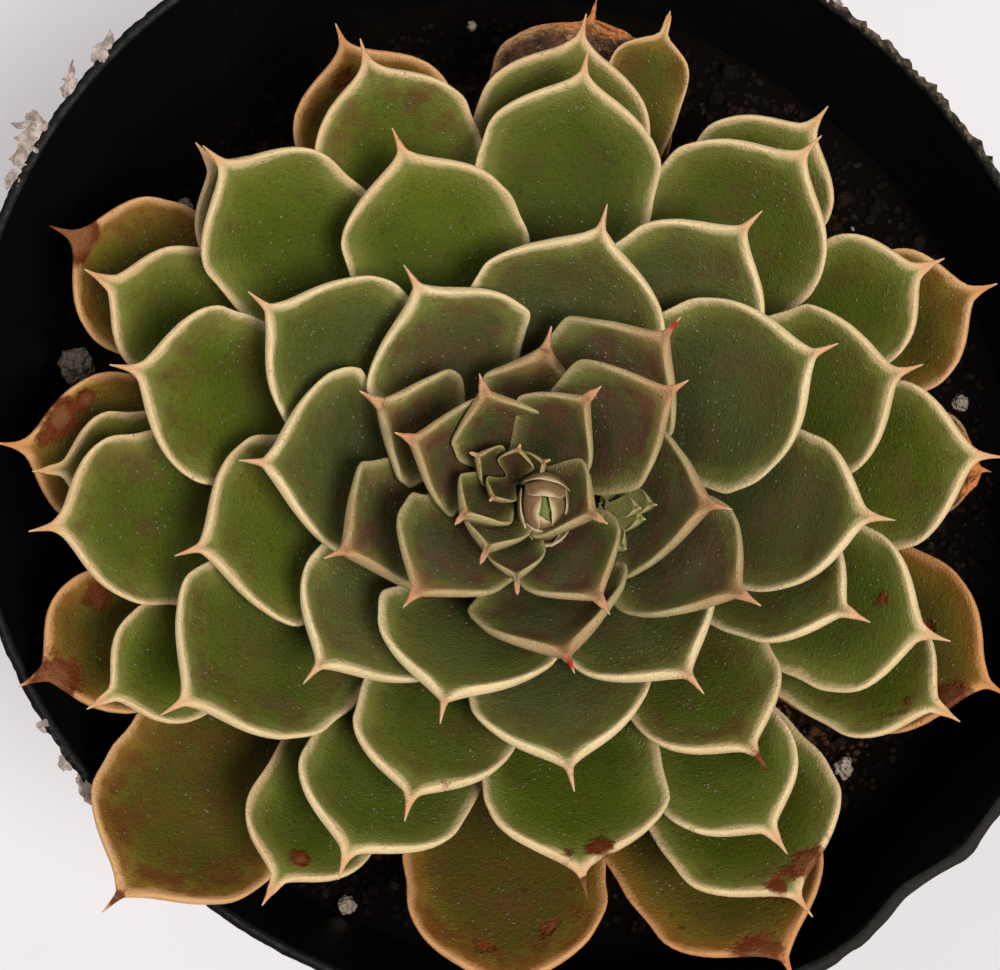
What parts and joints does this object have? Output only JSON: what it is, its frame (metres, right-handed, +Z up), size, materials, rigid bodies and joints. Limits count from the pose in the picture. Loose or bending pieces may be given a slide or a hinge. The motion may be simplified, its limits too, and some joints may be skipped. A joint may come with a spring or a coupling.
{
  "type": "potted succulent",
  "caption": "Round rosette of thick pointed succulent leaves on a short stem, growing in soil in a tapered black pot; free-standing plant for indoor or garden scenes",
  "frame": {"origin": "centre of the underside of the pot's base, on the surface that the pot stands on", "axes": "+Z up along the pot's axis; the long radius of the rim lies halfway between -X and +Y; the plant leans a little towards -Y"},
  "size_m": [0.1204, 0.1204, 0.1312],
  "materials": {
    "black_plastic": "thin black moulded plastic, scuffed, with lime crusts on the rim",
    "soil": "dark gritty potting soil with pale and orange grains; stone stands in for soil",
    "stem_skin": "dull brown stem skin",
    "young_leaf": "waxy grey-green young leaf flushed red, cream edge; leather stands in for living leaf",
    "green_leaf": "waxy deep green leaf with a cream edge and a red point; leather stands in for living leaf",
    "old_leaf": "olive-brown old leaf with an orange edge, specks and scars; leather stands in for living leaf",
    "bud_scale": "pale green and pink bud scales; leather stands in for living tissue"
  },
  "bodies": {
    "root": {"pot": "black_plastic", "soil": "soil", "stem": "stem_skin", "heart": "young_leaf", "flower_bud": "bud_scale", "leaf_01": "green_leaf", "leaf_02": "green_leaf", "leaf_03": "green_leaf", "leaf_04": "green_leaf", "leaf_05": "green_leaf", "leaf_06": "green_leaf", "leaf_07": "green_leaf", "leaf_08": "green_leaf", "leaf_09": "green_leaf", "leaf_10": "green_leaf", "leaf_11": "green_leaf", "leaf_12": "green_leaf", "leaf_13": "green_leaf", "leaf_14": "green_leaf", "leaf_15": "green_leaf", "leaf_16": "green_leaf", "leaf_17": "green_leaf", "leaf_18": "green_leaf", "leaf_19": "green_leaf", "leaf_20": "green_leaf", "leaf_21": "green_leaf", "leaf_22": "green_leaf", "leaf_23": "green_leaf", "leaf_24": "green_leaf", "leaf_25": "green_leaf", "leaf_26": "green_leaf", "leaf_27": "green_leaf", "leaf_28": "green_leaf", "leaf_29": "green_leaf", "leaf_30": "green_leaf", "leaf_31": "green_leaf", "leaf_32": "green_leaf", "leaf_33": "green_leaf", "leaf_34": "green_leaf", "leaf_35": "green_leaf", "leaf_36": "green_leaf", "leaf_37": "green_leaf", "leaf_38": "green_leaf", "leaf_39": "green_leaf", "leaf_40": "green_leaf", "leaf_41": "green_leaf", "leaf_42": "green_leaf", "leaf_43": "green_leaf", "leaf_44": "green_leaf", "leaf_45": "green_leaf", "leaf_46": "green_leaf", "leaf_47": "old_leaf", "leaf_48": "old_leaf", "leaf_49": "old_leaf", "leaf_50": "old_leaf", "leaf_51": "old_leaf", "leaf_52": "old_leaf", "leaf_53": "old_leaf", "leaf_54": "old_leaf", "leaf_55": "old_leaf"}
  },
  "joints": []
}
